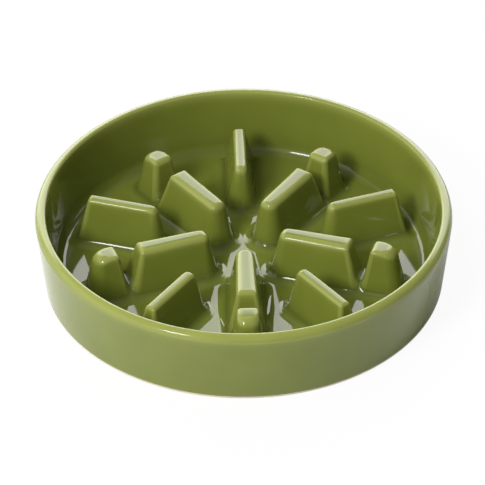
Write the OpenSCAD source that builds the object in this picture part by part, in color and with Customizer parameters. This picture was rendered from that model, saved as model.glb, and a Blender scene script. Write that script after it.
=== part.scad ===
// Slow feeder bowl, a low round bowl of glazed stoneware for a pet.
// Five long inner ridges, five thin outer ridges and five pegs stand on its floor, so that
// food spreads out between them. Units are millimetres. The origin is the centre of the
// foot, on the table, and Z is up. The first inner ridge and its peg point toward -Y.

/* [Bowl] */
// Outer diameter at its widest, just below the lip
bowl_d = 216; // [196:1:260]
// Overall height, from the table to the top of the lip
bowl_h = 42; // [37:0.5:52]
// Thickness of the wall at the lip
wall_t = 5.6; // [4:0.1:8]
// Rounding of the lip's inner edge; its outer rounding takes the rest of the wall
lip_edge_r = 1.6; // [1:0.1:2.4]
// Lean of the outer face from the vertical, in degrees
outer_lean = 6; // [2:0.1:9]
// Lean of the inner face from the vertical, in degrees
inner_lean = 7.4; // [3:0.1:10]
// Radius of the cove where the inner face meets the floor
cove_r = 8; // [5:0.5:11]
// Thickness of the floor
floor_t = 4.5; // [3.5:0.5:8]

/* [Foot ring] */
// How far the foot ring lifts the underside off the table
foot_h = 1.5; // [1.2:0.1:3]
// Width of the foot ring
foot_w = 8; // [5:0.5:12]
// Rounding of its outer edge at the table
heel_r = 0.9; // [0.5:0.1:1.1]

/* [Ridges] */
// How far their tops lie below the top of the lip
ridge_drop = 10.8; // [7:0.1:16]
// Slope of their sides from the vertical, in degrees
side_slope = 12; // [4:0.5:14]

/* [Inner ridges] */
// Radius of the open floor in the middle of the bowl, between their feet
middle_r = 15; // [14:0.1:20]
// Width of the top at the inner end
inner_start_w = 8.3; // [6:0.1:9]
// Width of the top at the outer end
inner_end_w = 10; // [7:0.1:13]
// Corner radius of the top at the inner end
inner_nose_r = 3.6; // [2:0.1:3.9]
// Corner radius of the top at the outer end
inner_tail_r = 2.1; // [1.8:0.1:3.4]
// Rounding of the edge round the top
inner_edge_r = 1.8; // [0.8:0.1:2]
// Slope of the outer end from the vertical, in degrees
tail_slope = 16; // [6:0.5:17]

/* [Pegs] */
// How far their tops lie below the top of the lip
peg_drop = 10.2; // [7:0.1:16]
// Gap on the floor between a peg and the inner ridge that it follows
peg_gap = 0.5; // [0.2:0.1:4]
// Gap on the floor between a peg and the cove
peg_cove_gap = 3.5; // [1:0.1:8]
// Width of the top, across the bowl's radius
peg_w = 10.8; // [10.2:0.1:14]
// Depth of the top, from the flat face to the round back
peg_depth = 12.2; // [10:0.1:14]
// Corner radius of the top on the flat side, which faces the inner ridge
peg_face_r = 2.2; // [2.1:0.1:3.4]
// Corner radius of the top on the round side, which faces the wall
peg_back_r = 4.6; // [3.4:0.1:5]
// Rounding of the top's edge on the flat side and the two sides beside it
peg_edge_r = 1.8; // [1.2:0.1:2.2]
// Rounding of the top's edge on the round side
peg_back_edge_r = 4.4; // [2.2:0.1:4.6]
// Slope of the flat face and the sides from the vertical, in degrees
peg_slope = 9.5; // [3:0.5:12]
// Slope of the round back from the vertical, in degrees
peg_back_slope = 13; // [3:0.5:16]

/* [Outer ridges] */
// Length of the top
outer_len = 36.9; // [28:0.1:40]
// Width of the top
outer_w = 5.6; // [4.5:0.1:8]
// Gap on the floor between an outer ridge and the cove
outer_cove_gap = 1.3; // [0.2:0.1:4]
// Corner radius of the top
outer_corner_r = 2; // [1.5:0.1:2.2]
// Rounding of the edge round the top
outer_edge_r = 1.3; // [0.6:0.1:1.6]

/* [Hidden] */

glaze = "#7d8740";
bare_clay = "#d8cdb8";
round_steps = 180;

// Copies of each kind round the bowl, and the headings of the first ones
ridge_sets = 5;
set_turn = 360 / ridge_sets;
inner_heading = -90;
outer_heading = inner_heading + set_turn / 2;

// Heights above the table
floor_top = foot_h + floor_t;
ridge_top = bowl_h - ridge_drop;
peg_top = bowl_h - peg_drop;

// The lip is fully round: its outer and inner arcs meet at the highest point
bowl_r = bowl_d / 2;
lip_outer_r = wall_t - lip_edge_r;
lip_centre_r = bowl_r - lip_outer_r;

// Where the two faces leave the lip's arcs, as [radius, height]
outer_touch = [lip_centre_r + lip_outer_r * cos(outer_lean),
               bowl_h - lip_outer_r - lip_outer_r * sin(outer_lean)];
inner_touch = [lip_centre_r - lip_edge_r * cos(inner_lean),
               bowl_h - lip_edge_r + lip_edge_r * sin(inner_lean)];

// Radius of each face at a height above the table
function outer_face_r(z) = outer_touch[0] - (outer_touch[1] - z) * tan(outer_lean);
function inner_face_r(z) = inner_touch[0] - (inner_touch[1] - z) * tan(inner_lean);

// The cove touches the floor at cove_start_r, and the wall starts there
cove_centre_z = floor_top + cove_r;
cove_start_r = inner_face_r(cove_centre_z) - cove_r / cos(inner_lean);

// Points of an arc about c from angle a to angle b
function arc(c, r, a, b, steps) =
    [for (i = [0:steps]) let (t = a + (b - a) * i / steps) [c[0] + r * cos(t), c[1] + r * sin(t)]];

// Steps along an arc of the wall, round a ridge's corner, and over the edge of its top
wall_steps = 16;
corner_steps = 6;
edge_steps = 6;

// How far a foot reaches beyond the outline of its top
function spread(top, slope) = (top - floor_top) * tan(slope);

// Places along the radius, each worked out from the foot of what lies next to it
peg_end_r = cove_start_r - peg_cove_gap - spread(peg_top, peg_back_slope);
peg_start_r = peg_end_r - peg_depth;
inner_end_r = peg_start_r - spread(peg_top, peg_slope) - peg_gap - spread(ridge_top, tail_slope);
inner_start_r = middle_r + spread(ridge_top, side_slope);
outer_end_r = cove_start_r - outer_cove_gap - spread(ridge_top, side_slope);
outer_start_r = outer_end_r - outer_len;

// A corner's rounding grows by this share of the distance that its ring is pushed out: all
// of it at a round end, which widens like a cone, and less at a square end
round_end_share = 1;
square_end_share = 0.25;

// The corner where two edges meet near c, once each is pushed out along its own normal
function meet(c, n1, n2, o1, o2) =
    let (k = n1 * n2)
    c + ((o1 - k * o2) * n1 + (o2 - k * o1) * n2) / (1 - k * k);

// One rounded corner of a ring: p, c and n are the corner before, this one and the next,
// r is its radius on the top and share the growth of that radius, and the edges on its two
// sides are pushed out by o1 and o2
function corner(p, c, n, r, share, o1, o2) =
    let (d1 = (c - p) / norm(c - p),
         d2 = (n - c) / norm(n - c),
         n1 = [d1[1], -d1[0]],
         n2 = [d2[1], -d2[0]],
         least = min(o1, o2),
         radius = least < 0 ? r + least : r + least * share,
         a1 = atan2(n1[1], n1[0]),
         a2 = atan2(n2[1], n2[0]))
    arc(meet(c, n1, n2, o1 - radius, o2 - radius), radius, a1, a2 < a1 ? a2 + 360 : a2, corner_steps);

// The outline of a ridge at height z, with its four edges pushed out by the values in o
function ring(corners, radii, shares, o, z) =
    [for (i = [0:3])
        for (q = corner(corners[(i + 3) % 4], corners[i], corners[(i + 1) % 4], radii[i],
                        shares[i], o[(i + 3) % 4], o[i]))
            [q[0], q[1], z]];

// How far a side of this slope stands out at height z, rounded over at the top
function reach(z, top, slope, edge_r) =
    let (rise = (z - top + edge_r) / edge_r)
    rise > sin(slope)
        ? edge_r * (cos(asin(min(rise, 1))) - (1 - sin(slope)) / cos(slope))
        : (top - z) * tan(slope);

// A ridge or peg from x0 to x1 along its heading. Its width w, corner radius r and share of
// growth each hold the value at x0 and the one at x1. The edge radii and slopes are those
// of its right side, outer end, left side and inner end
module ridge(x0, x1, w, r, share, top, edges, slopes, heading) {
    corners = [[x0, -w[0] / 2], [x1, -w[1] / 2], [x1, w[1] / 2], [x0, w[0] / 2]];
    edge_r = max(edges);
    heights = concat([floor_top],
                     [for (q = arc([0, top - edge_r], edge_r, min(slopes), 90, edge_steps)) q[1]]);
    rings = [for (z = heights)
        ring(corners, [r[0], r[1], r[1], r[0]], [share[0], share[1], share[1], share[0]],
             [for (side = [0:3]) reach(z, top, slopes[side], edges[side])], z)];
    count = len(rings[0]);
    last = len(rings) - 1;
    points = [for (one = rings) for (q = one) q];
    sides = [for (k = [0:last - 1]) for (i = [0:count - 1])
        let (j = (i + 1) % count, low = k * count, high = low + count)
        for (face = [[low + i, high + j, low + j], [low + i, high + i, high + j]]) face];
    foot = [for (i = [0:count - 1]) i];
    crown = [for (i = [0:count - 1]) last * count + count - 1 - i];
    rotate([0, 0, heading]) polyhedron(points, concat([foot], sides, [crown]));
}

// Cross-section of the wall, up from the cove, over the lip and down to the foot ring
wall_outline = concat(
    [[cove_start_r, foot_h]],
    arc([cove_start_r, cove_centre_z], cove_r, -90, -inner_lean, wall_steps),
    arc([lip_centre_r, bowl_h - lip_edge_r], lip_edge_r, 180 - inner_lean, 90, wall_steps),
    arc([lip_centre_r, bowl_h - lip_outer_r], lip_outer_r, 90, -outer_lean, wall_steps),
    [[outer_face_r(foot_h), foot_h]]
);

// Cross-section of the foot ring, with its rounded heel
foot_start_r = outer_face_r(0) - foot_w;
heel_centre_r = outer_face_r(heel_r) - heel_r / cos(outer_lean);
foot_outline = concat(
    [[foot_start_r, foot_h], [foot_start_r, 0]],
    arc([heel_centre_r, heel_r], heel_r, -90, -outer_lean, wall_steps),
    [[outer_face_r(foot_h), foot_h]]
);

// The wall with its lip, and the cove at its foot
module bowl_wall() {
    color(glaze) rotate_extrude($fn = round_steps) polygon(wall_outline);
}

// The round floor that the ridges and pegs stand on
module bowl_floor() {
    color(glaze) translate([0, 0, foot_h]) cylinder(r = cove_start_r, h = floor_t, $fn = round_steps);
}

// The unglazed ring that the bowl stands on
module foot_ring() {
    color(bare_clay) rotate_extrude($fn = round_steps) polygon(foot_outline);
}

// A long inner ridge, wider at its outer end
module inner_ridge(number) {
    color(glaze)
    ridge(inner_start_r, inner_end_r, [inner_start_w, inner_end_w], [inner_nose_r, inner_tail_r],
          [round_end_share, square_end_share], ridge_top, [for (side = [0:3]) inner_edge_r],
          [side_slope, tail_slope, side_slope, side_slope], inner_heading + set_turn * (number - 1));
}

// A thin outer ridge, halfway between two inner ones
module outer_ridge(number) {
    color(glaze)
    ridge(outer_start_r, outer_end_r, [outer_w, outer_w], [outer_corner_r, outer_corner_r],
          [round_end_share, square_end_share], ridge_top, [for (side = [0:3]) outer_edge_r],
          [for (side = [0:3]) side_slope], outer_heading + set_turn * (number - 1));
}

// A peg beyond the outer end of an inner ridge, with a flat face toward it and a round back
module peg(number) {
    color(glaze)
    ridge(peg_start_r, peg_end_r, [peg_w, peg_w], [peg_face_r, peg_back_r],
          [square_end_share, round_end_share], peg_top,
          [peg_edge_r, peg_back_edge_r, peg_edge_r, peg_edge_r],
          [peg_slope, peg_back_slope, peg_slope, peg_slope], inner_heading + set_turn * (number - 1));
}

bowl_wall();
bowl_floor();
foot_ring();
for (number = [1:ridge_sets]) {
    inner_ridge(number);
    outer_ridge(number);
    peg(number);
}
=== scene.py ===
# %% [markdown]
# A slow feeder bowl in glazed stoneware. The real bowl is one piece of clay: a low round
# wall, a flat floor, and ridges and pegs that spread the food out. This script dresses the
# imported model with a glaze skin. Each part of the skin is its own piece, so a reader can
# take one form apart from the next, yet the glaze runs from one to the other without a seam.

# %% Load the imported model
import math
from types import SimpleNamespace

import bmesh
import bpy
import numpy as np
from mathutils import Matrix, Vector


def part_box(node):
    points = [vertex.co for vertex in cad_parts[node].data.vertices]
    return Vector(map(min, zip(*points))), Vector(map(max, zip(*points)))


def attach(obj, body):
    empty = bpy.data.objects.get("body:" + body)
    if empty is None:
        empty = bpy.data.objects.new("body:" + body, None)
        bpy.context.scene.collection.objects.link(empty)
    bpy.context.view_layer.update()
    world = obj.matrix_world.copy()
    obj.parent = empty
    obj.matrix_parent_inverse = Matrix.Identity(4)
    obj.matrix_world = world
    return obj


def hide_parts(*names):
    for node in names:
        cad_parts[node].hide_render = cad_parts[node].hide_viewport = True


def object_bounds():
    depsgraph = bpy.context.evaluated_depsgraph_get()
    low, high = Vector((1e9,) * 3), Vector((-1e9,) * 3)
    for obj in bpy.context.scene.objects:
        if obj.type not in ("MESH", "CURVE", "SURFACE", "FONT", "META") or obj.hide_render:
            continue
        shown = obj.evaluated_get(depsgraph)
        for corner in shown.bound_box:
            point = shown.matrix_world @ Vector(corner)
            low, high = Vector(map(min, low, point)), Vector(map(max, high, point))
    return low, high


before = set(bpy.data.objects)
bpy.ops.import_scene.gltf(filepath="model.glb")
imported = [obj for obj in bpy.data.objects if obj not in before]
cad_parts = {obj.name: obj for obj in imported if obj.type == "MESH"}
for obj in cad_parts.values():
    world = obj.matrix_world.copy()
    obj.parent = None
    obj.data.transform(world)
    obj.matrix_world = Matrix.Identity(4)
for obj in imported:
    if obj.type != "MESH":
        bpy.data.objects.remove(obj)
cad_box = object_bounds()
print("the packed model spans", *[[round(v, 4) for v in corner] for corner in cad_box])

# %% [markdown]
# The camera comes first, because everything after it is judged through it. The photograph
# was taken from far away with a long lens, so the bowl shows hardly any perspective. The
# camera's place is worked out from the lip: how high it stands over the bowl, how far off
# it is in bowl radii, and where the middle of the lip falls in the picture.

# %% Camera
MM = 0.001
IMAGE_SIZE = 485
LIP_CENTRE_PIXEL = (243.74, 207.0)
FOCAL_PIXELS = 3862.0
DISTANCE_IN_RADII = 18.5
SENSOR_W = 36.0
camera_height = math.radians(37.3)
camera_turn = math.radians(-1.534)
camera_roll = math.radians(-0.25)

bowl_r = cad_box[1][0]
bowl_h = cad_box[1][2]
camera_distance = DISTANCE_IN_RADII * bowl_r
lip_centre = Vector((0, 0, bowl_h))
turn = Matrix.Rotation(camera_turn, 3, "Z")
toward_camera = turn @ Vector((0, -math.cos(camera_height), math.sin(camera_height)))
right = turn @ Vector((1, 0, 0))
up = toward_camera.cross(right)
camera_place = lip_centre + camera_distance * toward_camera

# The lens aims at the point that falls on the middle of the picture, so no shift is needed
pixel = camera_distance / FOCAL_PIXELS
across = (IMAGE_SIZE / 2 - LIP_CENTRE_PIXEL[0]) * pixel
down = (IMAGE_SIZE / 2 - LIP_CENTRE_PIXEL[1]) * pixel
aim = lip_centre + across * right - down * up
back = (camera_place - aim).normalized()
side = up.cross(back).normalized()
top = back.cross(side)
look = Matrix((side, top, back)).transposed() @ Matrix.Rotation(camera_roll, 3, "Z")

camera_data = bpy.data.cameras.new("camera")
camera_data.sensor_width = SENSOR_W
camera_data.lens = FOCAL_PIXELS / IMAGE_SIZE * SENSOR_W
camera = bpy.data.objects.new("camera", camera_data)
camera.matrix_world = Matrix.Translation(camera_place) @ look.to_4x4()
bpy.context.collection.objects.link(camera)
bpy.context.scene.camera = camera
print("lens", round(camera_data.lens, 1), "mm at", round(camera_distance, 3), "m")

# %% [markdown]
# The sizes of the bowl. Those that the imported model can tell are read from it, and the rest
# are named here as a potter would name them. A slope or lean is measured from the vertical.
# The lip is two arcs that share a centre line, tight at its inner edge and wide outside. The
# wall leaves each arc at the point where the arc has the wall's own lean.

# %% Sizes of the wall and floor
wall_t = 5.6 * MM
lip_edge_r = 1.6 * MM
lip_outer_r = wall_t - lip_edge_r
lip_centre_r = bowl_r - lip_outer_r
outer_lean = math.radians(6)
inner_lean = math.radians(7.4)
floor_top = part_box("bowl_floor")[1][2]
floor_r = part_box("bowl_floor")[1][0]
foot_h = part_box("foot_ring")[1][2]
foot_w = 8 * MM
heel_r = 0.9 * MM
outer_touch = (lip_centre_r + lip_outer_r * math.cos(outer_lean),
               bowl_h - lip_outer_r - lip_outer_r * math.sin(outer_lean))
inner_touch = (lip_centre_r - lip_edge_r * math.cos(inner_lean),
               bowl_h - lip_edge_r + lip_edge_r * math.sin(inner_lean))
print("floor at", round(floor_top / MM, 2), "mm, out to radius", round(floor_r / MM, 2), "mm")


def outer_face_r(z):
    """Radius of the outer face at a height."""
    return outer_touch[0] - (outer_touch[1] - z) * math.tan(outer_lean)


# %% [markdown]
# The cove is the hollow where the floor bends up into the wall. One arc would be simplest,
# but its reflections would lie in the wrong place: on the real bowl the floor sags a little
# first, and the cove starts tight and then opens out. So it is three arcs that run smoothly
# into each other. The first two are chosen, and the third is worked out to meet the wall.
# The angles here are slopes of the surface, measured from the level floor.

# %% Arcs of the sag and the cove
sag_start_r = 80 * MM
sag_slope = math.radians(4.5)
tight_r = 4 * MM
tight_centre_r = 93.0 * MM
tight_end = math.radians(35)
sag_end_r = tight_centre_r - tight_r * math.sin(sag_slope)
sag_r = (sag_end_r - sag_start_r) / math.sin(sag_slope)
sag_end_z = floor_top - sag_r * (1 - math.cos(sag_slope))
tight_centre_z = sag_end_z + tight_r * math.cos(sag_slope)
room_left = ((inner_touch[0] - tight_centre_r) * math.cos(inner_lean)
             - (inner_touch[1] - tight_centre_z) * math.sin(inner_lean))
open_r = tight_r + (room_left - tight_r) / (1 - math.sin(tight_end + inner_lean))
open_centre_r = tight_centre_r - (open_r - tight_r) * math.sin(tight_end)
open_centre_z = tight_centre_z + (open_r - tight_r) * math.cos(tight_end)
print("the floor sags", round((floor_top - sag_end_z) / MM, 2), "mm")
print("the cove's open radius is", round(open_r / MM, 2), "mm")

# %% [markdown]
# The ridges and pegs are tapered blocks with rounded edges. The long inner ridges are wider
# at their outer ends, the outer ridges are thin, and a peg stands beyond each inner ridge.
# All three kinds are one kind of form with other numbers, so they are described by one
# function. Where a form starts and ends at its foot, and how tall it is, comes from the
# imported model.

# %% A ridge or peg
def in_mm(*values):
    """Sizes in millimetres, as metres."""
    return tuple(value * MM for value in values)


def in_degrees(*values):
    """Angles in degrees, as radians."""
    return tuple(math.radians(value) for value in values)


def make_form(foot, top, widths, corner_r, growth, edges, slopes, crown, roll, fall):
    """One ridge or peg that lies along +X. A pair holds the value at its near end and the one
    at its far end, and a triple has the one for the long sides before them.

    foot is where the form ends on the floor, widths are those of its top, corner_r rounds the
    outline of the top, and growth says how fast that radius grows down the flanks. edges round
    the top over into the flanks, which lean by slopes. crown is how far the top's long sides
    lie below its middle, roll is the radius and length of the bend at its near end, and fall
    is how far it sinks toward its far end."""
    tall = top - floor_top
    form = SimpleNamespace(top=top, corner_r=corner_r, growth=growth, edges=edges, slopes=slopes,
                           crown=crown, roll=roll, fall=fall)
    form.x0 = foot[0] + tall * math.tan(slopes[1])
    form.x1 = foot[1] - tall * math.tan(slopes[2])
    form.half0 = widths[0] / 2
    form.half1 = widths[1] / 2
    form.middle = (form.x0 + form.x1) / 2
    taper = math.atan2(form.half1 - form.half0, form.x1 - form.x0)
    form.side_normal = (-math.sin(taper), math.cos(taper))
    return form


# %% Sizes of the ridges and pegs
inner_low, inner_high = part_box("inner_ridge_1")
outer_low, outer_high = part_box("outer_ridge_3")
peg_low, peg_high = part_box("peg_1")
inner_ridge = make_form(
    foot=(-inner_high[1], -inner_low[1]), top=inner_high[2], widths=in_mm(8.3, 10),
    corner_r=in_mm(3.6, 1.5), growth=(1, 0.25), edges=in_mm(2.2, 2.8, 1.9),
    slopes=in_degrees(12, 12, 16), crown=0.35 * MM, roll=in_mm(4, 1.5), fall=0)
outer_ridge = make_form(
    foot=(outer_low[1], outer_high[1]), top=outer_high[2], widths=in_mm(5.6, 5.6),
    corner_r=in_mm(2.3, 1.4), growth=(1, 0.25), edges=in_mm(1.5, 2.4, 1.5),
    slopes=in_degrees(12, 12, 12), crown=0.22 * MM, roll=in_mm(5, 3), fall=0)
peg = make_form(
    foot=(-peg_high[1], -peg_low[1]), top=peg_high[2], widths=in_mm(10.8, 10.8),
    corner_r=in_mm(2.3, 4.6), growth=(0.1, 1), edges=in_mm(1.9, 1.7, 4.6),
    slopes=in_degrees(9.5, 9.5, 13), crown=0.12 * MM, roll=in_mm(4.5, 2.5), fall=0.3 * MM)
for label, form in (("inner ridge", inner_ridge), ("outer ridge", outer_ridge), ("peg", peg)):
    print(label, "top from radius", round(form.x0 / MM, 2), "to", round(form.x1 / MM, 2), "mm")

# %% [markdown]
# The glaze skin is one smooth surface over clay forms. A potter presses the ridges into the
# bowl and the glaze fills every inside corner with a round fillet. A modeller could bevel
# each corner, but bevels fail where three forms meet, as at a peg, the ridge before it and
# the floor. So the skin is written as a distance: how far a point lies outside the clay.
# Distances to single forms are simple, and a round union of them makes every fillet at once.

# %% Distance from one form
NEAR_BLEND = 2.0
FAR_BLEND = 1.4
ROLL_LIMIT = 0.9
PAST_THE_EDGE = 1.2


def outline_distance(form, x, y, z):
    """Distance, across the floor, from a form's outline at height z. Negative is inside."""
    below = form.top - z
    beyond = x > form.middle
    nx, ny = form.side_normal
    side_slope, near_slope, far_slope = map(math.tan, form.slopes)
    side_gap = (x - form.x0) * nx + (np.abs(y) - form.half0) * ny - below * side_slope
    end_gap = np.where(beyond, x - form.x1 - below * far_slope, form.x0 - x - below * near_slope)
    grown = np.maximum(below, 0) * side_slope * np.where(beyond, form.growth[1], form.growth[0])
    radius = np.where(beyond, form.corner_r[1], form.corner_r[0]) + grown
    across_corner = np.where(beyond, nx, -nx)
    a = side_gap + radius
    b = end_gap + radius
    spare = 1 - across_corner ** 2
    p = (a - across_corner * b) / spare
    q = (b - across_corner * a) / spare
    corner = np.sqrt(np.maximum(p * p + q * q + 2 * across_corner * p * q, 0))
    return np.where((p > 0) & (q > 0), corner, np.maximum(a, b)) - radius


def eased(t):
    """0 up to t = 0, 1 from t = 1, and smooth between."""
    t = np.clip(t, 0, 1)
    return t * t * (3 - 2 * t)


def edge_at(form, x):
    """Radius of the top's edge along a form, which changes toward its two ends."""
    side, near, far = form.edges
    length = form.x1 - form.x0
    toward_near = 1 - eased((x - form.x0) / min(form.half0 * NEAR_BLEND, length))
    toward_far = 1 - eased((form.x1 - x) / min(form.half1 * FAR_BLEND, length))
    return side + (near - side) * toward_near + (far - side) * toward_far


def top_drop(form, x, y):
    """How far the top lies below its highest point: crowned, rolled down at its near end
    and falling toward its far end."""
    half = np.interp(x, (form.x0, form.x1), (form.half0, form.half1))
    roll_r, roll_length = form.roll
    rolled = np.clip(form.x0 + roll_length - x, 0, ROLL_LIMIT * roll_r)
    share = np.clip((x - form.x0) / (form.x1 - form.x0), 0, PAST_THE_EDGE)
    crown = form.crown * np.minimum(y / half, PAST_THE_EDGE) ** 2
    return crown + roll_r - np.sqrt(roll_r ** 2 - rolled ** 2) + form.fall * share ** 2


def form_distance(form, x, y, z):
    """Distance from one ridge or peg that lies along +X, with its top edge rounded."""
    flank = outline_distance(form, x, y, z) * math.cos(form.slopes[0])
    above = z - form.top + top_drop(form, x, y)
    edge = edge_at(form, x)
    u = np.maximum(edge + flank, 0)
    v = np.maximum(edge + above, 0)
    return np.minimum(-edge, np.maximum(flank, above)) + np.sqrt(u * u + v * v)


probe = form_distance(peg, np.array([peg.middle]), np.zeros(1), np.array([floor_top]))
print("the middle of a peg's foot lies", round(-probe[0] / MM, 2), "mm inside its clay")

# %% [markdown]
# A mesh needs heights and not distances. Over any point of the floor, the skin lies where the
# distance passes through zero, and halving a range of heights again and again closes in on it.

# %% Height of the skin
HALVINGS = 36
fillet_r = 5 * MM


def cavity_distance(x, y, z):
    """Distance from the floor, the cove and the inner face of the wall."""
    r = np.hypot(x, y)
    sagged = np.hypot(r - sag_start_r, z - floor_top + sag_r) - sag_r
    floor_gap = np.where(r > sag_start_r, sagged, z - floor_top)
    wall_gap = ((inner_touch[0] - r) * math.cos(inner_lean)
                - (inner_touch[1] - z) * math.sin(inner_lean))
    gap = np.minimum(floor_gap, wall_gap)
    for centre_r, centre_z, radius, start, end in (
            (open_centre_r, open_centre_z, open_r, tight_end, math.pi / 2 - inner_lean),
            (tight_centre_r, tight_centre_z, tight_r, -sag_slope, tight_end)):
        turned_by = np.arctan2(r - centre_r, centre_z - z)
        arc_gap = radius - np.hypot(r - centre_r, z - centre_z)
        gap = np.where((turned_by > start) & (turned_by <= end), arc_gap, gap)
    return gap


def skin_distance(near_forms, x, y, z):
    """Distance from the glaze skin: the cavity and the forms near the point, with fillets."""
    gaps = [cavity_distance(x, y, z)]
    gaps += [form_distance(form, x, y, z) for form in near_forms]
    nearest = np.minimum.reduce(gaps)
    filled = np.sqrt(sum(np.maximum(fillet_r - gap, 0) ** 2 for gap in gaps))
    return np.maximum(fillet_r, nearest) - filled


def skin_height(near_forms, x, y):
    """Height of the skin over points of the floor, found by halving."""
    low = np.full(x.shape, floor_top - fillet_r)
    high = np.full(x.shape, bowl_h)
    for _ in range(HALVINGS):
        z = (low + high) / 2
        outside = skin_distance(near_forms, x, y, z) > 0
        high = np.where(outside, z, high)
        low = np.where(outside, low, z)
    return (low + high) / 2


probe = skin_height([inner_ridge, peg], np.array([inner_ridge.middle, floor_r]), np.zeros(2))
print("skin over an inner ridge and at the cove, mm:", (probe / MM).round(3))

# %% [markdown]
# Each form gets a mesh whose rings follow its outline, from the crown of its top, over the
# rounded edge, down the flank and out through the fillet. Rings that follow the shape keep
# the reflections clean, where a plain grid would leave steps on the steep flanks. The rings
# only place the points across the floor, and the skin's distance gives each its height.

# %% Outline of one ring
ARC_STEPS = 10
LONG_STEPS = 26
SHORT_STEPS = 8
LEAST_CORNER_R = 0.2 * MM
SHARP_CORNER_R = 2.8 * MM


def meet(corner, n1, n2, o1, o2):
    """The corner where two edges meet once each is pushed out along its own normal."""
    k = n1.dot(n2)
    return corner + ((o1 - k * o2) * n1 + (o2 - k * o1) * n2) / (1 - k * k)


def ring_outline(form, outs, widen):
    """Points round a form's outline, with its sides and ends pushed out and then widened,
    and how sharply the outline bends at each."""
    side_out, near_out, far_out = outs
    corners = [Vector((form.x0, -form.half0)), Vector((form.x1, -form.half1)),
               Vector((form.x1, form.half1)), Vector((form.x0, form.half0))]
    outs = [side_out, far_out, side_out, near_out]
    arcs = []
    bends = []
    for i, end in enumerate((0, 1, 1, 0)):
        before = (corners[i] - corners[i - 1]).normalized()
        after = (corners[(i + 1) % 4] - corners[i]).normalized()
        n1 = Vector((before.y, -before.x))
        n2 = Vector((after.y, -after.x))
        least = min(outs[i - 1], outs[i])
        base = form.corner_r[end] + (least if least < 0 else least * form.growth[end])
        base = max(base, LEAST_CORNER_R)
        centre = meet(corners[i], n1, n2, outs[i - 1] - base, outs[i] - base)
        radius = base + widen
        start_angle = math.atan2(n1.y, n1.x)
        end_angle = math.atan2(n2.y, n2.x)
        end_angle += math.tau if end_angle < start_angle else 0
        angles = np.linspace(start_angle, end_angle, ARC_STEPS + 1)
        arcs.append(np.stack([centre.x + radius * np.cos(angles),
                              centre.y + radius * np.sin(angles)], 1))
        bends.append(np.full(ARC_STEPS + 1, math.exp(-(radius / SHARP_CORNER_R) ** 2)))
    points = []
    sharp = []
    for i, steps in enumerate((LONG_STEPS, SHORT_STEPS, LONG_STEPS, SHORT_STEPS)):
        share = np.linspace(0, 1, steps + 1)[1:-1, None]
        straight = arcs[i][-1] * (1 - share) + arcs[(i + 1) % 4][0] * share
        points += [arcs[i], straight]
        sharp += [bends[i], np.zeros(steps - 1)]
    return np.concatenate(points), np.concatenate(sharp)


print("points in a ring:", len(ring_outline(peg, (0, 0, 0), 0)[0]))

# %% [markdown]
# Even steps down a form would waste rings on the straight flank and starve its rounded edge.
# So the rings take even steps of angle round the edge, even steps of height down the flank,
# and chosen shares of the way out through the fillet and in to the spine of the top.

# %% Rings of one form
EDGE_RINGS = 22
LOWEST_EDGE_ANGLE = 14
FLANK_RINGS = 26
FLARE_SPARE = 1.01
FLARE_SHARES = (0.06, 0.14, 0.22, 0.31, 0.4, 0.5, 0.6, 0.7, 0.8, 0.88, 0.95, 1.0)
SPINE_SHARES = (0.08, 0.2, 0.35, 0.5, 0.7, 0.85, 1.0)
THIN_AND_HIGHLIGHT_REACH = 1.3
THIN_AND_HIGHLIGHT_REACH_INWARD = 0.35
POOL_AND_SHADE_REACH = 0.9


def reach(form, z, side):
    """How far a side or end stands out at height z, rounded over at the top."""
    slope = form.slopes[side]
    edge_r = form.edges[side]
    rise = (z - form.top + edge_r) / edge_r
    if rise > math.sin(slope):
        inset = (1 - math.sin(slope)) / math.cos(slope)
        return edge_r * (math.cos(math.asin(min(rise, 1))) - inset)
    return (form.top - z) * math.tan(slope)


def form_rings(form):
    """All rings of a form as (points, pale edge, dark corner), from the spine of its top to its
    flare. The pale edge is glaze running off the top's edges and sharp corners, with a painted
    highlight, and the dark corner is glaze gathered at the foot and in the fillet, with painted
    shade."""
    flare_w = fillet_r / math.cos(form.slopes[0]) * FLARE_SPARE
    edge_r = max(form.edges)
    edge_angles = np.radians(np.linspace(90, LOWEST_EDGE_ANGLE, EDGE_RINGS))
    heights = list(form.top - edge_r * (1 - np.sin(edge_angles)))
    heights += list(np.linspace(heights[-1], floor_top, FLANK_RINGS)[1:])
    rings = []
    for z in map(float, heights):
        outs = [reach(form, z, side) for side in range(3)]
        # The pale edge near the top is thin glaze and a painted highlight, and the dark foot is pooled
        # glaze and painted shade.
        thin = math.exp(-((form.top - z) / (THIN_AND_HIGHLIGHT_REACH * form.edges[0])) ** 2)
        pool_and_shade = math.exp(-((z - floor_top) / (POOL_AND_SHADE_REACH * fillet_r)) ** 2)
        flat, sharp = ring_outline(form, outs, 0)
        rings.append((flat, np.maximum(sharp, thin), pool_and_shade))
    foot = [reach(form, floor_top, side) for side in range(3)]
    # Out through the fillet the painted shade and the pooled glaze fade away.
    for share in FLARE_SHARES:
        flat, sharp = ring_outline(form, foot, flare_w * share)
        rings.append((flat, sharp * (1 - share), (1 - share) ** 2))
    first = rings[0][0]
    spine_x = np.clip(first[:, 0], min(form.x0 + form.half0, form.middle),
                      max(form.x1 - form.half1, form.middle))
    spine = np.stack([spine_x, np.zeros(len(spine_x))], 1)
    # Toward the spine the pale edge and its painted highlight fade out.
    for share in SPINE_SHARES:
        thin = np.full(len(first), math.exp(-(share / THIN_AND_HIGHLIGHT_REACH_INWARD) ** 2))
        rings.insert(0, (first * (1 - share) + spine * share, thin, 0))
    return rings


print("rings of a form:", len(form_rings(peg)))

# %% [markdown]
# The skin of a form has to end somewhere on the floor. If it ended in an open edge, light
# would find the gap, and if it lay in the floor's own surface, the two would flicker. So its
# last ring dips a hair under the floor and a short skirt closes it below, out of sight.

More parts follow.
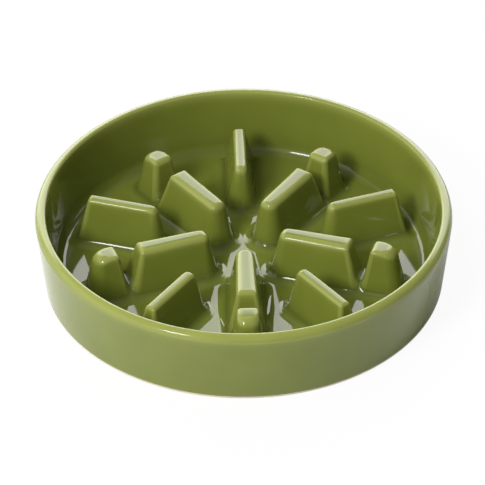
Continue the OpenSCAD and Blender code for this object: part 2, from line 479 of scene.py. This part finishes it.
# %% Mesh of one form
SHARP_ANGLE = math.radians(50)
MERGE_DISTANCE = 1e-7
skirt_h = 0.6 * MM
hidden_sink = 0.004 * MM
gap_middle = (-inner_low[1] - peg_high[1]) / 2


def shaded(mesh):
    """Merges doubles, turns the faces outward, shades them smooth and keeps real edges."""
    bm = bmesh.new()
    bm.from_mesh(mesh)
    bmesh.ops.remove_doubles(bm, verts=bm.verts, dist=MERGE_DISTANCE)
    bmesh.ops.dissolve_degenerate(bm, edges=bm.edges, dist=MERGE_DISTANCE)
    bmesh.ops.recalc_face_normals(bm, faces=bm.faces)
    bm.to_mesh(mesh)
    bm.free()
    mesh.shade_smooth()
    mesh.set_sharp_from_angle(angle=SHARP_ANGLE)
    return mesh


def store_glaze(mesh, thin, pool_and_shade):
    """Keeps the glaze's depth at each point of a mesh: pale glaze on edges with a painted
    highlight, and gathered glaze with painted shade.
    """
    for name, values in (("thin", thin), ("pool_and_shade", pool_and_shade)):
        data = mesh.attributes.new(name, "FLOAT", "POINT").data
        data.foreach_set("value", np.array(values, dtype=float))


def form_mesh(name, form, near_forms, limit):
    """The closed skin of one form, cut off at limit, where the form beyond it takes over."""
    points, thin, pool_and_shade = [], [], []
    for flat, thin_here, pool_and_shade_here in form_rings(form):
        flat = limit(flat)
        z = skin_height(near_forms, flat[:, 0], flat[:, 1])
        points.append(np.column_stack([flat, z]))
        thin.append(thin_here)
        pool_and_shade.append(np.full(len(flat), pool_and_shade_here))
    points[-1][:, 2] -= hidden_sink
    skirt = points[-1].copy()
    skirt[:, 2] -= skirt_h
    points.append(skirt)
    count = len(skirt)
    thin.append(np.zeros(count))
    pool_and_shade.append(np.zeros(count))
    faces = []
    for k in range(len(points) - 1):
        for i in range(count):
            j = (i + 1) % count
            faces.append((k * count + i, k * count + j, (k + 1) * count + j, (k + 1) * count + i))
    faces.append([(len(points) - 1) * count + i for i in range(count)])
    mesh = bpy.data.meshes.new(name)
    mesh.from_pydata(np.concatenate(points).tolist(), [], faces)
    store_glaze(mesh, np.concatenate(thin), np.concatenate(pool_and_shade))
    return shaded(mesh)


def whole(flat):
    """Keeps all points of a form that stands alone."""
    return flat


def before_peg(flat):
    """Keeps points on the inner ridge's side of the gap to its peg."""
    return np.stack([np.minimum(flat[:, 0], gap_middle), flat[:, 1]], 1)


def after_ridge(flat):
    """Keeps points on the peg's side of the gap."""
    return np.stack([np.maximum(flat[:, 0], gap_middle), flat[:, 1]], 1)


base_meshes = {
    "inner_ridge": form_mesh("inner_ridge_base", inner_ridge, [inner_ridge, peg], before_peg),
    "outer_ridge": form_mesh("outer_ridge_base", outer_ridge, [outer_ridge], whole),
    "peg": form_mesh("peg_base", peg, [peg, inner_ridge], after_ridge),
}
for name, mesh in base_meshes.items():
    print(name, len(mesh.vertices), "points")

# %% [markdown]
# Glaze is glass over clay. Where it runs off a sharp edge it is thin and the clay lightens
# it, and where it gathers in a corner it is deep and darker. The pale edges also carry a
# painted highlight, and the dark corners and feet carry painted shade. The meshes carry both
# as attributes, and a node group mixes the glaze's colour from them. A second group gives
# the gentle waves that every poured glaze has, and the bare foot uses it too.

# %% Helpers for nodes
def feed(tree, socket, value):
    """Links an input to another socket, or sets its value."""
    if isinstance(value, bpy.types.NodeSocket):
        tree.links.new(value, socket)
    else:
        socket.default_value = value


def place(tree, kind, inputs, **options):
    """Adds a node with its options, feeds its inputs by number or name, returns its outputs."""
    node = tree.nodes.new(kind)
    for name, value in options.items():
        setattr(node, name, value)
    for key, value in inputs.items():
        feed(tree, node.inputs[key], value)
    return node.outputs


def math_node(tree, operation, *values, use_clamp=False):
    """A Math node, with each value a socket or a number."""
    return place(tree, "ShaderNodeMath", dict(enumerate(values)), operation=operation,
                 use_clamp=use_clamp)[0]


def noise_node(tree, vector, scale, detail):
    """A Noise node with values from 0 to 1."""
    inputs = {"Vector": vector, "Scale": scale, "Detail": detail}
    return place(tree, "ShaderNodeTexNoise", inputs)["Fac"]


def mix_colour(tree, share, a, b, blend_type="MIX"):
    """A Mix node, whose colours are its seventh and eighth inputs."""
    inputs = {0: share, 6: a, 7: b}
    return place(tree, "ShaderNodeMix", inputs, data_type="RGBA", blend_type=blend_type)[2]


def new_group(kind, name, inputs, outputs):
    """An empty node group with named sockets, its input node and its output node."""
    group = bpy.data.node_groups.new(name, kind)
    for sockets, in_out in ((inputs, "INPUT"), (outputs, "OUTPUT")):
        for socket, socket_type in sockets.items():
            group.interface.new_socket(socket, in_out=in_out, socket_type=socket_type)
    return group, group.nodes.new("NodeGroupInput"), group.nodes.new("NodeGroupOutput")


# %% Node groups for the surface
WAVE_DETAIL = 1.0
GRAIN_DETAIL = 2.0
CLOUD_MIDDLE = 0.5
NUMBER = "NodeSocketFloat"
COLOUR = "NodeSocketColor"


def waves_group():
    """Height in metres of a surface with broad waves and a fine grain, and the waves' cloud."""
    group, enter, leave = new_group(
        "ShaderNodeTree", "surface_waves",
        {"Vector": "NodeSocketVector", "Wave Scale": NUMBER, "Wave Height": NUMBER,
         "Grain Scale": NUMBER, "Grain Height": NUMBER},
        {"Height": NUMBER, "Cloud": NUMBER})
    given = enter.outputs
    broad = noise_node(group, given["Vector"], given["Wave Scale"], WAVE_DETAIL)
    fine = noise_node(group, given["Vector"], given["Grain Scale"], GRAIN_DETAIL)
    height = math_node(group, "ADD", math_node(group, "MULTIPLY", broad, given["Wave Height"]),
                       math_node(group, "MULTIPLY", fine, given["Grain Height"]))
    feed(group, leave.inputs["Height"], height)
    feed(group, leave.inputs["Cloud"], broad)
    return group


def depth_and_light_group():
    """Colour of a glaze, pale where it runs off edges and deep and dark where it gathers in
    corners. The pale edges also carry a painted highlight, and the dark corners painted shade.
    """
    group, enter, leave = new_group(
        "ShaderNodeTree", "glaze_depth_and_light",
        {"Thin And Highlight": NUMBER, "Pool And Shade": NUMBER, "Cloud": NUMBER, "Glaze": COLOUR, "Pale Glaze And Highlight": COLOUR,
         "Deep Glaze And Shade": COLOUR, "Unevenness": NUMBER},
        {"Color": COLOUR})
    given = enter.outputs
    # Edges take the pale colour, a painted highlight as well as thin glaze, and corners the dark one,
    # painted shade as well as pooled glaze.
    edge = mix_colour(group, given["Thin And Highlight"], given["Glaze"], given["Pale Glaze And Highlight"])
    corner = mix_colour(group, given["Pool And Shade"], edge, given["Deep Glaze And Shade"])
    cloud = math_node(group, "SUBTRACT", given["Cloud"], CLOUD_MIDDLE)
    brightness = math_node(group, "ADD", math_node(group, "MULTIPLY", cloud, given["Unevenness"]), 1.0)
    grey = place(group, "ShaderNodeCombineColor", {0: brightness, 1: brightness, 2: brightness})
    feed(group, leave.inputs["Color"], mix_colour(group, 1.0, corner, grey[0], "MULTIPLY"))
    return group


waves = waves_group()
glaze_depth_and_light = depth_and_light_group()
print("node groups", [group.name for group in (waves, glaze_depth_and_light)])

# %% Helpers for materials
def new_material(name):
    """A node material with its shader, and the object's own coordinates."""
    material = bpy.data.materials.new(name)
    material.use_nodes = True
    tree = material.node_tree
    coordinates = place(tree, "ShaderNodeTexCoord", {})["Object"]
    return material, tree, tree.nodes["Principled BSDF"], coordinates


def use_group(tree, group, values):
    """Places a node group in a material, with its own values."""
    return place(tree, "ShaderNodeGroup", values, node_tree=group)


def attribute(tree, name):
    """The value of a mesh attribute."""
    return place(tree, "ShaderNodeAttribute", {}, attribute_name=name)["Fac"]


def bump(tree, shader, height):
    """Feeds a height in metres to the shader's normal."""
    inputs = {"Strength": 1.0, "Distance": 1.0, "Height": height}
    feed(tree, shader.inputs["Normal"], place(tree, "ShaderNodeBump", inputs)["Normal"])


# %% Glossy olive glaze
# The second colour is pale glaze on edges with a painted highlight, and the third is pooled glaze with
# painted shade in corners and at the feet of the forms.
GLAZE = (0.152, 0.180, 0.026, 1)
THIN_GLAZE_AND_HIGHLIGHT = (0.262, 0.288, 0.066, 1)
DEEP_GLAZE_AND_SHADE = (0.085, 0.105, 0.016, 1)
GLAZE_ROUGHNESS = 0.05
ROUGHER_IN_CLOUD = 0.03
ROUGHER_WHERE_THIN = 0.05
GLAZE_IOR = 1.55


def olive_glaze():
    """The glaze, a little rougher in its cloudy places and on the pale edges it runs off. Its
    colour holds a painted highlight on edges and painted shade in corners.
    """
    material, tree, shader, coordinates = new_material("olive_glaze")
    thin = attribute(tree, "thin")
    surface = use_group(tree, waves, {"Vector": coordinates, "Wave Scale": 45.0, "Wave Height": 0.00006,
                                      "Grain Scale": 260.0, "Grain Height": 0.000006})
    colour = use_group(tree, glaze_depth_and_light, {
        "Thin And Highlight": thin, "Pool And Shade": attribute(tree, "pool_and_shade"), "Cloud": surface["Cloud"], "Glaze": GLAZE,
        "Pale Glaze And Highlight": THIN_GLAZE_AND_HIGHLIGHT, "Deep Glaze And Shade": DEEP_GLAZE_AND_SHADE, "Unevenness": 0.2})
    rough = math_node(tree, "MULTIPLY_ADD", surface["Cloud"], ROUGHER_IN_CLOUD, GLAZE_ROUGHNESS)
    rough = math_node(tree, "MULTIPLY_ADD", thin, ROUGHER_WHERE_THIN, rough)
    feed(tree, shader.inputs["Base Color"], colour["Color"])
    feed(tree, shader.inputs["Roughness"], rough)
    shader.inputs["IOR"].default_value = GLAZE_IOR
    bump(tree, shader, surface["Height"])
    return material


glaze_material = olive_glaze()
print("material", glaze_material.name)

# %% [markdown]
# The bowl stands on a ring that the potter wipes clean, so that it doesn't stick to the kiln
# shelf. Bare stoneware is matt and pale with small dark flecks. The flecks are the peaks of
# a fine noise: only what rises over a level shows, and steeply, so each has a clear edge.

# %% Bare clay
BARE_CLAY = (0.60, 0.52, 0.40, 1)
CLAY_FLECK = (0.40, 0.31, 0.21, 1)
CLAY_ROUGHNESS = 0.78
CLAY_ROUGHER_IN_CLOUD = 0.1
FLECK_SCALE = 1500.0
FLECK_DETAIL = 1.0
FLECK_LEVEL = 0.62
FLECK_STEEPNESS = 9.0


def bare_clay():
    """Matt stoneware where the bowl stands, wiped clean of glaze."""
    material, tree, shader, coordinates = new_material("bare_clay")
    surface = use_group(tree, waves, {"Vector": coordinates, "Wave Scale": 300.0, "Wave Height": 0.00004,
                                      "Grain Scale": 2400.0, "Grain Height": 0.00006})
    fine_noise = noise_node(tree, coordinates, FLECK_SCALE, FLECK_DETAIL)
    peaks = math_node(tree, "SUBTRACT", fine_noise, FLECK_LEVEL)
    flecks = math_node(tree, "MULTIPLY", peaks, FLECK_STEEPNESS, use_clamp=True)
    rough = math_node(tree, "MULTIPLY_ADD", surface["Cloud"], CLAY_ROUGHER_IN_CLOUD, CLAY_ROUGHNESS)
    feed(tree, shader.inputs["Base Color"], mix_colour(tree, flecks, BARE_CLAY, CLAY_FLECK))
    feed(tree, shader.inputs["Roughness"], rough)
    bump(tree, shader, surface["Height"])
    return material


clay_material = bare_clay()
print("material", clay_material.name)

# %% [markdown]
# The wall, the floor and the foot ring are turned forms: one outline, spun round the bowl's
# axis. The outline is a mesh of points that holds radius and height, and Geometry Nodes spin
# it. A grid gets one row for each point of the outline and one column for each step round
# the axis, and every vertex looks up its own radius, height and glaze depth in the outline.

# %% Helpers for Geometry Nodes
def new_tree(name, inputs):
    """An empty Geometry Nodes tree with named inputs and one geometry output."""
    return new_group("GeometryNodeTree", name, inputs, {"Geometry": "NodeSocketGeometry"})


def finish_tree(tree, leave, geometry, material):
    """Ends a tree: instances made real, and the material set."""
    real = place(tree, "GeometryNodeRealizeInstances", {0: geometry})[0]
    painted = place(tree, "GeometryNodeSetMaterial", {0: real, 2: material})[0]
    feed(tree, leave.inputs[0], painted)


def run_tree(name, mesh, tree, values):
    """Runs a tree on a mesh and returns the result as a plain mesh of its own."""
    source = bpy.data.objects.new(name + "_source", mesh)
    bpy.context.collection.objects.link(source)
    modifier = source.modifiers.new("tree", "NODES")
    modifier.node_group = tree
    for item in tree.interface.items_tree:
        if item.item_type == "SOCKET" and item.in_out == "INPUT" and item.name in values:
            modifier[item.identifier] = values[item.name]
    depsgraph = bpy.context.evaluated_depsgraph_get()
    plain = bpy.data.meshes.new_from_object(source.evaluated_get(depsgraph))
    bpy.data.objects.remove(source)
    plain.name = name
    return plain


# %% A tree that turns an outline
SEAM_DISTANCE = 1e-6


def turning_tree():
    """Turns an outline into a form that is round about the Z axis."""
    tree, enter, leave = new_tree("turn_outline", {
        "Outline": "NodeSocketGeometry", "Rows": "NodeSocketInt", "Steps Round": "NodeSocketInt",
        "Material": "NodeSocketMaterial"})
    outline = enter.outputs["Outline"]
    rows = enter.outputs["Rows"]
    steps = enter.outputs["Steps Round"]
    grid = place(tree, "GeometryNodeMeshGrid", {2: math_node(tree, "ADD", steps, 1.0), 3: rows})[0]
    index = place(tree, "GeometryNodeInputIndex", {})[0]
    row = math_node(tree, "MODULO", index, rows)
    column = math_node(tree, "FLOOR", math_node(tree, "DIVIDE", index, rows))
    angle = math_node(tree, "MULTIPLY", math_node(tree, "DIVIDE", column, steps), math.tau)
    position = place(tree, "GeometryNodeInputPosition", {})[0]
    found = place(tree, "GeometryNodeSampleIndex", {0: outline, "Value": position, "Index": row},
                  data_type="FLOAT_VECTOR")[0]
    radius, _, height = place(tree, "ShaderNodeSeparateXYZ", {0: found})
    spot = place(tree, "ShaderNodeCombineXYZ", {
        0: math_node(tree, "MULTIPLY", radius, math_node(tree, "COSINE", angle)),
        1: math_node(tree, "MULTIPLY", radius, math_node(tree, "SINE", angle)),
        2: height})[0]
    geometry = grid
    for name in ("thin", "pool_and_shade"):
        named = place(tree, "GeometryNodeInputNamedAttribute", {"Name": name}, data_type="FLOAT")[0]
        value = place(tree, "GeometryNodeSampleIndex", {0: outline, "Value": named, "Index": row},
                      data_type="FLOAT")[0]
        geometry = place(tree, "GeometryNodeStoreNamedAttribute",
                         {0: geometry, "Name": name, "Value": value}, data_type="FLOAT")[0]
    moved = place(tree, "GeometryNodeSetPosition", {0: geometry, 2: spot})[0]
    joined = place(tree, "GeometryNodeMergeByDistance", {"Geometry": moved, "Distance": SEAM_DISTANCE})[0]
    finish_tree(tree, leave, joined, enter.outputs["Material"])
    return tree


turn_outline = turning_tree()
print("tree", turn_outline.name, "with", len(turn_outline.nodes), "nodes")

# %% [markdown]
# The wall's outline runs from the floor through the cove, up the inner face, over the lip and
# down the outer face to the foot. A curve could be drawn by eye, but the arcs are known by
# now, so points are set along them, close together where the outline bends most.

# %% Outline of the wall
SAG_POINTS = 7
TIGHT_STEPS = 16
OPEN_STEPS = 18
INNER_FACE_STEPS = 14
LIP_EDGE_STEPS = 14
LIP_OUTER_STEPS = 22
OUTER_FACE_STEPS = 18


def arc(centre, radius, start, end, steps):
    """Points of an arc between two angles in degrees."""
    angles = np.radians(np.linspace(start, end, steps + 1))
    return [(centre[0] + radius * math.cos(a), centre[1] + radius * math.sin(a)) for a in angles]


def line(start, end, steps):
    """Points between two points, both left out."""
    shares = np.linspace(0, 1, steps + 1)[1:-1]
    return [(start[0] + (end[0] - start[0]) * s, start[1] + (end[1] - start[1]) * s) for s in shares]


def sagged_height(r):
    """Height of the floor at a radius."""
    beyond = max(r - sag_start_r, 0)
    return floor_top - sag_r + math.sqrt(sag_r ** 2 - beyond ** 2)


def wall_points():
    """The wall's outline, from the floor up the inside, over the lip and down the outside."""
    slope = math.degrees(sag_slope)
    lean_in = math.degrees(inner_lean)
    lean_out = math.degrees(outer_lean)
    bend = math.degrees(tight_end)
    lip_edge_centre = (lip_centre_r, bowl_h - lip_edge_r)
    lip_outer_centre = (lip_centre_r, bowl_h - lip_outer_r)
    points = [(r, sagged_height(r)) for r in np.linspace(floor_r, sag_end_r, SAG_POINTS)[:-1]]
    points += arc((tight_centre_r, tight_centre_z), tight_r, -90 - slope, bend - 90, TIGHT_STEPS)
    points += arc((open_centre_r, open_centre_z), open_r, bend - 90, -lean_in, OPEN_STEPS)[1:]
    points += line(points[-1], inner_touch, INNER_FACE_STEPS)
    points += arc(lip_edge_centre, lip_edge_r, 180 - lean_in, 90, LIP_EDGE_STEPS)
    points += arc(lip_outer_centre, lip_outer_r, 90, -lean_out, LIP_OUTER_STEPS)[1:]
    foot = (outer_face_r(foot_h), foot_h)
    return points + line(points[-1], foot, OUTER_FACE_STEPS) + [foot, (floor_r, foot_h), points[0]]


print("points in the wall's outline:", len(wall_points()))

# %% [markdown]
# On the real bowl the glaze is palest along the lip, where it runs off both edges, and a
# little darker in the cove, where it gathers. The pale lip carries a painted highlight too,
# and the dark cove carries painted shade. Painting that by height alone would also colour
# the outside, so each point of the outline gets its depth from how near it is to those places.

# %% Turn the wall, the floor and the foot ring
STEPS_ROUND = 288
FLOOR_POINTS = 40
HEEL_START_STEPS = 8
SOLE_STEPS = 6
HEEL_END_STEPS = 10
THIN_AND_HIGHLIGHT_REACH_INSIDE = 2.2
THIN_AND_HIGHLIGHT_REACH_OUTSIDE = 0.9
THIN_AND_HIGHLIGHT_OUTSIDE = 0.8
POOL_AND_SHADE_IN_COVE = 0.6


def glaze_on_wall(r, z):
    """How the glaze lies at a point of the wall: pale over the lip's two edges, which also carry
    a painted highlight, and deepest halfway along the cove, where 4 s (1 - s) is 1, with
    painted shade there."""
    gap_in = math.hypot(r - (lip_centre_r - lip_edge_r), z - bowl_h)
    gap_out = math.hypot(r - (lip_centre_r + lip_outer_r), z - bowl_h)
    # Painted highlight along the lip's edges, together with the thin glaze there.
    thin = math.exp(-(gap_in / (THIN_AND_HIGHLIGHT_REACH_INSIDE * lip_edge_r)) ** 2)
    thin += THIN_AND_HIGHLIGHT_OUTSIDE * math.exp(-(gap_out / (THIN_AND_HIGHLIGHT_REACH_OUTSIDE * lip_outer_r)) ** 2)
    # Painted shade in the cove, together with the pooled glaze there.
    along = min(max((r - sag_end_r) / open_r, 0), 1)
    pool_and_shade = 4 * along * (1 - along) * math.exp(-((z - floor_top) / open_r) ** 2)
    inside = r < outer_face_r(z) - wall_t / 2
    return min(thin, 1), (POOL_AND_SHADE_IN_COVE * pool_and_shade if inside else 0)


def even_depth(r, z):
    """A surface with neither pale edges nor gathered glaze, so with neither painted highlight
    nor painted shade.
    """
    return 0, 0


def turned(name, points, material, glaze):
    """A turned form with a closed outline. Its outline mesh holds the radius as X."""
    outline = bpy.data.meshes.new(name + "_outline")
    outline.from_pydata([(r, 0, z) for r, z in points], [], [])
    thin, pool_and_shade = zip(*[glaze(r, z) for r, z in points])
    store_glaze(outline, thin, pool_and_shade)
    return shaded(run_tree(name, outline, turn_outline, {
        "Rows": len(points), "Steps Round": STEPS_ROUND, "Material": material}))


wall_mesh = turned("glazed_wall", wall_points(), glaze_material, glaze_on_wall)

floor_points = [(r, sagged_height(r)) for r in np.linspace(0, floor_r, FLOOR_POINTS)]
floor_points += [(floor_r, foot_h), (0, foot_h), (0, floor_top)]
floor_mesh = turned("glazed_floor", floor_points, glaze_material, even_depth)

foot_start_r = outer_face_r(0) - foot_w
heel_centre_r = outer_face_r(heel_r) - heel_r / math.cos(outer_lean)
foot_points = [(foot_start_r, foot_h)]
foot_points += arc((foot_start_r + heel_r, heel_r), heel_r, 180, 270, HEEL_START_STEPS)
foot_points += line(foot_points[-1], (heel_centre_r, 0), SOLE_STEPS)
foot_points += arc((heel_centre_r, heel_r), heel_r, -90, -math.degrees(outer_lean), HEEL_END_STEPS)
foot_points += [(outer_face_r(foot_h), foot_h), (foot_start_r, foot_h)]
foot_mesh = turned("bare_foot_ring", foot_points, clay_material, even_depth)
for mesh in (wall_mesh, floor_mesh, foot_mesh):
    print(mesh.name, len(mesh.polygons), "faces")

# %% [markdown]
# The ridges and pegs repeat five times round the bowl. A second tree puts a point for each
# copy on the bowl's axis, turns a copy of the form at each point, and keeps only the copy
# that is asked for, so each ridge becomes a piece of its own.

# %% A tree that places one copy round the bowl
def copying_tree():
    """Turns a form about the Z axis to the place of one of its copies. A whole-number Compare
    node takes its two values at its third and fourth inputs."""
    tree, enter, leave = new_tree("place_round_bowl", {
        "Form": "NodeSocketGeometry", "Copies": "NodeSocketInt", "First Turn": "NodeSocketFloat",
        "Copy": "NodeSocketInt", "Material": "NodeSocketMaterial"})
    given = enter.outputs
    points = place(tree, "GeometryNodePoints", {0: given["Copies"]})[0]
    index = place(tree, "GeometryNodeInputIndex", {})[0]
    step = math_node(tree, "DIVIDE", math.tau, given["Copies"])
    angle = math_node(tree, "ADD", math_node(tree, "MULTIPLY", index, step), given["First Turn"])
    euler = place(tree, "ShaderNodeCombineXYZ", {2: angle})[0]
    rotation = place(tree, "FunctionNodeEulerToRotation", {0: euler})[0]
    chosen = place(tree, "FunctionNodeCompare", {2: index, 3: given["Copy"]}, data_type="INT",
                   operation="EQUAL")[0]
    copied = place(tree, "GeometryNodeInstanceOnPoints", {
        "Points": points, "Selection": chosen, "Instance": given["Form"], "Rotation": rotation})[0]
    finish_tree(tree, leave, copied, given["Material"])
    return tree


place_round_bowl = copying_tree()
print("tree", place_round_bowl.name, "with", len(place_round_bowl.nodes), "nodes")

# %% [markdown]
# Each finished mesh takes the place of one solid of the imported model, which stays behind the
# scenes for weight and contact, hidden. The solids are plain and faceted, so all 18 are
# replaced. The bowl has no moving part, so every piece rides on the one rigid body.

# %% Make the pieces
SETS = 5
inner_turn = -math.pi / 2
outer_turn = inner_turn + math.tau / SETS / 2


def add_piece(name, mesh, node):
    """Puts a mesh in the scene in place of a CAD node."""
    mesh.name = name
    piece = bpy.data.objects.new(name, mesh)
    bpy.context.collection.objects.link(piece)
    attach(piece, "root")
    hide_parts(node)


add_piece("glazed_wall", wall_mesh, "bowl_wall")
add_piece("glazed_floor", floor_mesh, "bowl_floor")
add_piece("bare_foot_ring", foot_mesh, "foot_ring")
for kind, first_turn in (("inner_ridge", inner_turn), ("outer_ridge", outer_turn), ("peg", inner_turn)):
    for number in range(SETS):
        name = f"glazed_{kind}_{number + 1}"
        mesh = run_tree(name, base_meshes[kind], place_round_bowl, {
            "Copies": SETS, "First Turn": first_turn, "Copy": number, "Material": glaze_material})
        add_piece(name, mesh, f"{kind}_{number + 1}")

# %% [markdown]
# The light. A glossy glaze shows its surroundings, so the lamps are chosen as much for what
# they look like in the glaze as for how they light it. Two soft boxes at the front left light
# the flanks that face them and throw the shadows. Seen in the glaze they would be blots, so
# they are hidden from it, and a small box in nearly the same direction gives the thin glints
# on the lip and the edges.

# %% Lamps
LAMP_DISTANCE = 1.6


def lamp(name, turn_degrees, height_degrees, width, radiance, in_glaze):
    """A square lamp that faces the bowl. The turn is measured from the camera's side."""
    a = math.radians(turn_degrees) + camera_turn
    e = math.radians(height_degrees)
    direction = Vector((math.sin(a) * math.cos(e), -math.cos(a) * math.cos(e), math.sin(e)))
    data = bpy.data.lights.new(name, "AREA")
    data.shape = "SQUARE"
    data.size = width
    data.energy = radiance * math.pi * width ** 2
    made = bpy.data.objects.new(name, data)
    made.location = direction * LAMP_DISTANCE
    made.rotation_mode = "QUATERNION"
    made.rotation_quaternion = direction.to_track_quat("Z", "Y")
    made.visible_glossy = in_glaze
    bpy.context.collection.objects.link(made)
    print(name, "stands", turn_degrees, "degrees round and", height_degrees, "degrees up")


lamp("front_left_box", -37, 42, width=0.46, radiance=20.9, in_glaze=False)
lamp("high_box", -46, 65, width=0.36, radiance=15.0, in_glaze=False)
lamp("glint_box", -38, 40, width=0.27, radiance=17.5, in_glaze=True)

# %% [markdown]
# The room is what the glaze shows between the lamps. It is dim, with a broad white panel low
# behind the bowl, which gives the tops of the ridges their white sheen, and a dim window at
# the left. Real panels would need their own objects. Here they are soft patches of light
# painted on the world by direction alone. The camera itself sees plain white.

# %% Room
ROOM_LEVEL = 0.18
PANEL_LEVEL = 3.8
PANEL_HEADING = math.radians(90)
PANEL_TOP = in_degrees(43.5, 39.5)
PANEL_SIDES = in_degrees(50, 30)
WINDOW_LEVEL = 0.85
WINDOW_HEADING = math.radians(195)
WINDOW_TOP = in_degrees(60, 30)
WINDOW_SIDES = in_degrees(75, 30)
WHITE = (1, 1, 1, 1)

world = bpy.data.worlds.new("room")
world.use_nodes = True
bpy.context.scene.world = world
room = world.node_tree
direction = place(room, "ShaderNodeTexCoord", {})["Generated"]
height = place(room, "ShaderNodeSeparateXYZ", {0: direction})[2]
height_squared = math_node(room, "POWER", height, 2.0)
level_part = math_node(room, "SQRT", math_node(room, "SUBTRACT", 1.0, height_squared))


def smooth_step(tree, value, start, end):
    """0 at start, 1 at end, and smooth between."""
    inputs = {"Value": value, "From Min": start, "From Max": end}
    return place(tree, "ShaderNodeMapRange", inputs, interpolation_type="SMOOTHSTEP")["Result"]


def wall_light(heading, top, sides):
    """A soft-edged patch of light on the room's walls, from the floor up to a height. The
    heading is measured from +X, and top and sides say where the patch ends and is full."""
    toward = place(room, "ShaderNodeVectorMath", {
        0: direction, 1: (math.cos(heading), math.sin(heading), 0)}, operation="DOT_PRODUCT")
    sideways = math_node(room, "DIVIDE", toward["Value"], level_part)
    return math_node(room, "MULTIPLY", smooth_step(room, height, *map(math.sin, top)),
                     smooth_step(room, sideways, *map(math.cos, sides)))


panel = wall_light(PANEL_HEADING, PANEL_TOP, PANEL_SIDES)
window = wall_light(WINDOW_HEADING, WINDOW_TOP, WINDOW_SIDES)
walls = math_node(room, "MULTIPLY_ADD", window, WINDOW_LEVEL, ROOM_LEVEL)
lit = math_node(room, "MULTIPLY_ADD", panel, PANEL_LEVEL, walls)
seen_by_camera = place(room, "ShaderNodeLightPath", {})["Is Camera Ray"]
feed(room, room.nodes["Background"].inputs["Color"], mix_colour(room, seen_by_camera, lit, WHITE))
print("room with", len(room.nodes), "nodes")

# %% [markdown]
# The bowl stands on a sheet of white paper. Lit as it is, the paper would come out light
# grey, and more light would bleach the bowl. So the camera sees mostly plain white there,
# and the small rest is the lit paper, which keeps the bowl's soft shadow.

# %% Floor of the studio
PAPER = (0.84, 0.84, 0.84, 1)
PLAIN_WHITE_SHARE = 0.93
FLOOR_REACH = 3.0

stage_mesh = bpy.data.meshes.new("studio_floor")
corners = ((-FLOOR_REACH, -FLOOR_REACH, 0), (FLOOR_REACH, -FLOOR_REACH, 0),
           (FLOOR_REACH, FLOOR_REACH, 0), (-FLOOR_REACH, FLOOR_REACH, 0))
stage_mesh.from_pydata(corners, [], [(0, 1, 2, 3)])
studio_floor = bpy.data.objects.new("studio_floor", stage_mesh)
bpy.context.collection.objects.link(studio_floor)

paper = bpy.data.materials.new("white_paper")
paper.use_nodes = True
paper_tree = paper.node_tree
paper_tree.nodes.remove(paper_tree.nodes["Principled BSDF"])
matt = place(paper_tree, "ShaderNodeBsdfDiffuse", {"Color": PAPER})[0]
plain_white = place(paper_tree, "ShaderNodeEmission", {})[0]
camera_ray = place(paper_tree, "ShaderNodeLightPath", {})["Is Camera Ray"]
white_share = math_node(paper_tree, "MULTIPLY", camera_ray, PLAIN_WHITE_SHARE)
mixed = place(paper_tree, "ShaderNodeMixShader", {0: white_share, 1: matt, 2: plain_white})[0]
feed(paper_tree, paper_tree.nodes["Material Output"].inputs["Surface"], mixed)
stage_mesh.materials.append(paper)
print("the floor reaches", FLOOR_REACH, "m to each side")

# %% [markdown]
# The Standard view shows a colour as it was written, where a filmic one would grey the glaze.

# %% Colour management and the end
bpy.context.scene.view_settings.view_transform = "Standard"
